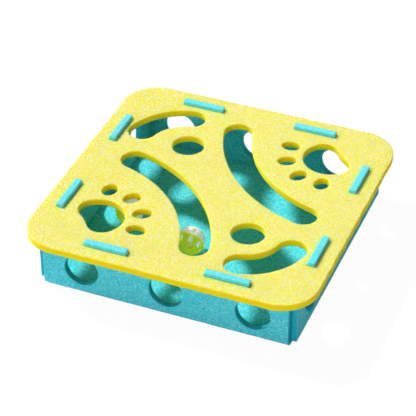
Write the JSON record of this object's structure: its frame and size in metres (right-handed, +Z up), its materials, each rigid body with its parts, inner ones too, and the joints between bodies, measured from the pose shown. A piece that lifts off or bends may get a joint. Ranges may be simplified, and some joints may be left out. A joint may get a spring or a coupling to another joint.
{
  "type": "cat puzzle feeder",
  "caption": "Square felt puzzle box for cats: folded tray, tabbed lid panel with paw, slot and round openings, and small bell balls inside.",
  "frame": {"origin": "centre of the lid's footprint, on the underside of the tray's floor", "axes": "+Z up through the lid, +X to the right along the front wall, -Y out through the front wall"},
  "size_m": [0.3, 0.3, 0.0685],
  "materials": {
    "top_felt": "thick needle-punched felt, matte",
    "tray_felt": "thick needle-punched felt, matte",
    "green_plastic": "moulded, slightly glossy",
    "white_plastic": "moulded, slightly glossy",
    "bell_steel": "bright nickel plate",
    "pellet_steel": "plain steel"
  },
  "bodies": {
    "tray": {"base_panel": "tray_felt", "front_wall": "tray_felt", "front_crease": "tray_felt", "right_wall": "tray_felt", "right_crease": "tray_felt", "back_wall": "tray_felt", "back_crease": "tray_felt", "left_wall": "tray_felt", "left_crease": "tray_felt"},
    "lid": {"top_panel": "top_felt"},
    "middle_ball_bell": {"middle_ball_bell_cap": "bell_steel", "middle_ball_bell_cup": "bell_steel"},
    "middle_ball_shell": {"middle_ball_green_half": "green_plastic", "middle_ball_white_half": "white_plastic"},
    "middle_ball_pellet": {"middle_ball_pellet": "pellet_steel"},
    "left_ball_bell": {"left_ball_bell_cap": "bell_steel", "left_ball_bell_cup": "bell_steel"},
    "left_ball_shell": {"left_ball_green_half": "green_plastic", "left_ball_white_half": "white_plastic"},
    "left_ball_pellet": {"left_ball_pellet": "pellet_steel"}
  },
  "joints": [
    {"name": "lid_lift", "type": "slide", "parent": "tray", "child": "lid", "axis": [0, 0, 1], "range_m": [0, 0.12]},
    {"name": "middle_ball_travel", "type": "slide", "parent": "tray", "child": "middle_ball_bell", "axis": [0, 1, 0], "range_m": [-0.0733, 0.1511]},
    {"name": "middle_ball_roll", "type": "hinge", "parent": "middle_ball_bell", "child": "middle_ball_shell", "pos_m": [-0.0105, -0.0389, 0.0223], "axis": [1, 0, 0], "range_deg": [-597.07, 289.65]},
    {"name": "middle_ball_pellet_swing", "type": "hinge", "parent": "middle_ball_bell", "child": "middle_ball_pellet", "pos_m": [-0.0105, -0.0389, 0.0153], "axis": [1, 0, 0], "range_deg": [-70, 70]},
    {"name": "left_ball_travel", "type": "slide", "parent": "tray", "child": "left_ball_bell", "axis": [0, 1, 0], "range_m": [-0.0954, 0.129]},
    {"name": "left_ball_roll", "type": "hinge", "parent": "left_ball_bell", "child": "left_ball_shell", "pos_m": [-0.0878, -0.0168, 0.0223], "axis": [1, 0, 0], "range_deg": [-509.74, 376.98]},
    {"name": "left_ball_pellet_swing", "type": "hinge", "parent": "left_ball_bell", "child": "left_ball_pellet", "pos_m": [-0.0878, -0.0168, 0.0153], "axis": [1, 0, 0], "range_deg": [-70, 70]}
  ],
  "couplings": [
    {"joint": "middle_ball_roll", "follows": "middle_ball_travel", "rad_per_m": -68.966},
    {"joint": "left_ball_roll", "follows": "left_ball_travel", "rad_per_m": -68.966}
  ]
}
